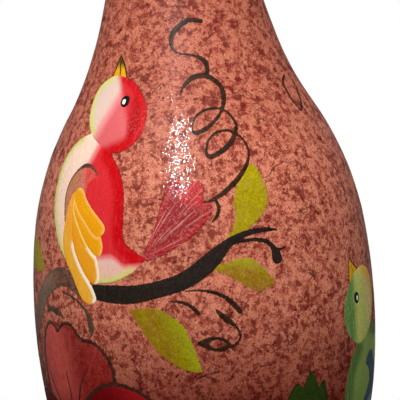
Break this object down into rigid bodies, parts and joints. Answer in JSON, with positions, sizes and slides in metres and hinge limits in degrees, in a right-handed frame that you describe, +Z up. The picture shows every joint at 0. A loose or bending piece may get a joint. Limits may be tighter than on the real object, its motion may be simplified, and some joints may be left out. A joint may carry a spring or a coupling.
{
  "type": "painted clay vase",
  "caption": "Tall bottle-shaped fired-clay vase with a foot ring, rolled lip and open neck, hand-painted all round with birds, boughs, leaves, tendrils and red flowers.",
  "frame": {"origin": "centre of the foot ring's tread, on the surface the vase stands on", "axes": "+Z up the vase's axis to its mouth; -Y is the front, where the red bird and its branch are painted; +X is to the right seen from the front"},
  "size_m": [0.128, 0.1288, 0.2666],
  "materials": {
    "fired_clay": "matte fired terracotta",
    "ground_coat": "sponged, mottled terracotta-pink acrylic under gloss varnish, with fine dark crackle",
    "black_paint": "black brushed acrylic under gloss varnish",
    "bough_grey": "thin grey-black acrylic wash under gloss varnish",
    "leaf_green": "yellow-green acrylic under gloss varnish",
    "bird_red": "red acrylic blended to cream and pale yellow-green at the back, under gloss varnish",
    "beak_ochre": "ochre acrylic under gloss varnish",
    "wing_brown": "thin brown acrylic wash under gloss varnish",
    "feather_orange": "orange-yellow acrylic with pale edges, under gloss varnish",
    "tail_red": "thin, streaky red acrylic under gloss varnish",
    "bird_green": "green acrylic blended to pale yellow, under gloss varnish",
    "wing_blue": "blue-grey acrylic under gloss varnish",
    "tail_green": "dark green acrylic under gloss varnish",
    "glint_white": "white acrylic dot under gloss varnish",
    "petal_red": "dark red acrylic blended lighter to the left, under gloss varnish"
  },
  "bodies": {
    "root": {"foot_ring": "fired_clay", "base_floor": "fired_clay", "lower_body": "fired_clay", "shoulder": "fired_clay", "neck_base": "fired_clay", "neck": "fired_clay", "lip_ring": "fired_clay", "ground_coat": "ground_coat", "branch": "black_paint", "twig": "black_paint", "left_bough": "bough_grey", "low_branch": "black_paint", "side_branch": "black_paint", "leaf_upper": "leaf_green", "leaf_middle": "leaf_green", "leaf_lower": "leaf_green", "leaf_left": "leaf_green", "side_leaves": "leaf_green", "spiral_tendril": "black_paint", "lower_tendrils": "black_paint", "left_tendrils": "bough_grey", "edge_tendrils": "black_paint", "red_bird_body": "bird_red", "red_bird_head": "bird_red", "red_bird_beak": "beak_ochre", "red_bird_eye": "black_paint", "red_bird_wing": "wing_brown", "red_bird_wing_edge": "wing_brown", "red_bird_feather_1": "feather_orange", "red_bird_feather_2": "feather_orange", "red_bird_feather_3": "feather_orange", "red_bird_feather_4": "feather_orange", "red_bird_tail": "tail_red", "green_bird_body": "bird_green", "green_bird_head": "bird_green", "green_bird_beak": "beak_ochre", "green_bird_eye": "black_paint", "green_bird_wing": "wing_blue", "green_bird_feathers": "wing_blue", "green_bird_tail": "tail_green", "back_bird_body": "bird_red", "back_bird_head": "bird_red", "back_bird_beak": "beak_ochre", "back_bird_eye": "black_paint", "back_bird_wing": "wing_brown", "back_bird_feathers": "feather_orange", "back_bird_tail": "tail_red", "beak_lines": "black_paint", "eye_glints": "glint_white", "flower_back_petal": "petal_red", "flower_front_petals": "petal_red", "flower_outlines": "black_paint", "flower_centre": "beak_ochre", "back_flower_petals": "petal_red", "back_flower_outlines": "black_paint", "back_flower_centre": "beak_ochre", "back_branch": "black_paint", "back_leaves": "leaf_green", "back_tendrils": "black_paint"}
  },
  "joints": []
}
